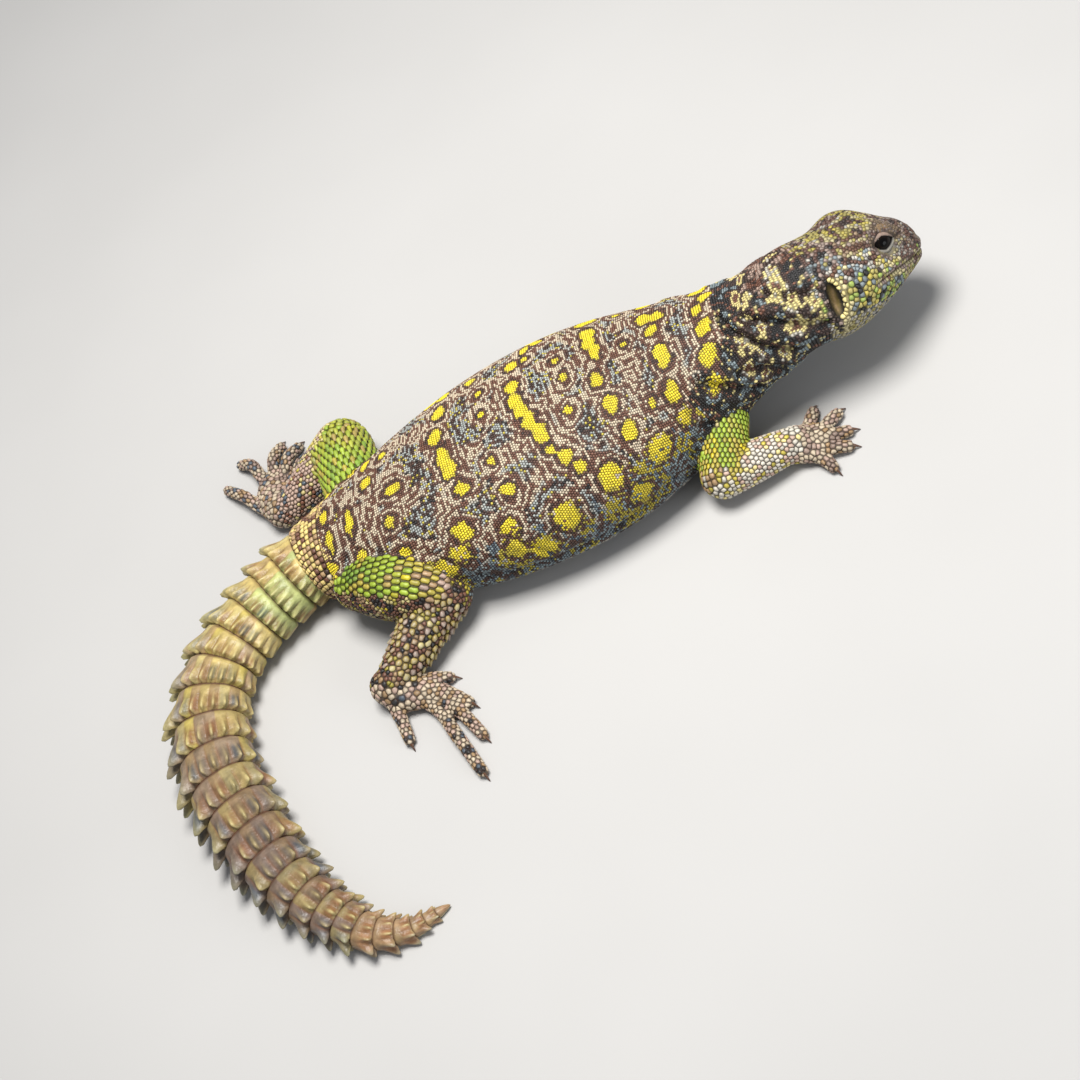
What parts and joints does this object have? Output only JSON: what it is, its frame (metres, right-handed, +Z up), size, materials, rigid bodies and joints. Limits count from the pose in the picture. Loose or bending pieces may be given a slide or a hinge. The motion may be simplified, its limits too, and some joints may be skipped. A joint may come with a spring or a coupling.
{
  "type": "ornate uromastyx lizard model",
  "caption": "Life-size still model of an ornate uromastyx lizard lying on its belly, head raised, spiny whorled tail curved back along its side.",
  "frame": {"origin": "middle of the footprint box, on the floor that the belly, feet and tail rest on", "axes": "+X along the trunk towards the head, +Y to the animal's left, +Z up"},
  "size_m": [0.217, 0.1582, 0.0354],
  "materials": {
    "body_skin": "matte small beaded scales, dark brown net with pale grey and lemon yellow spots",
    "head_skin": "matte scales, brown, lime yellow and blue grey",
    "limb_skin": "satin keeled scales, lime green and yellow",
    "foot_skin": "matte pinkish grey scales with dark specks",
    "tail_skin": "satin horny whorls, straw yellow to tan with grey bases",
    "eye": "glossy dark brown to black"
  },
  "bodies": {
    "root": {"pelvis": "body_skin", "belly": "body_skin", "chest": "body_skin", "neck": "body_skin", "head": "head_skin", "eye_right": "eye", "eye_left": "eye", "tail_root": "tail_skin", "tail_upper": "tail_skin", "tail_middle": "tail_skin", "tail_lower": "tail_skin", "tail_tip": "tail_skin", "upper_arm_right": "limb_skin", "forearm_right": "limb_skin", "hand_right": "foot_skin", "thigh_right": "limb_skin", "shank_right": "limb_skin", "foot_right": "foot_skin", "upper_arm_left": "limb_skin", "forearm_left": "limb_skin", "hand_left": "foot_skin", "thigh_left": "limb_skin", "shank_left": "limb_skin", "foot_left": "foot_skin"}
  },
  "joints": []
}
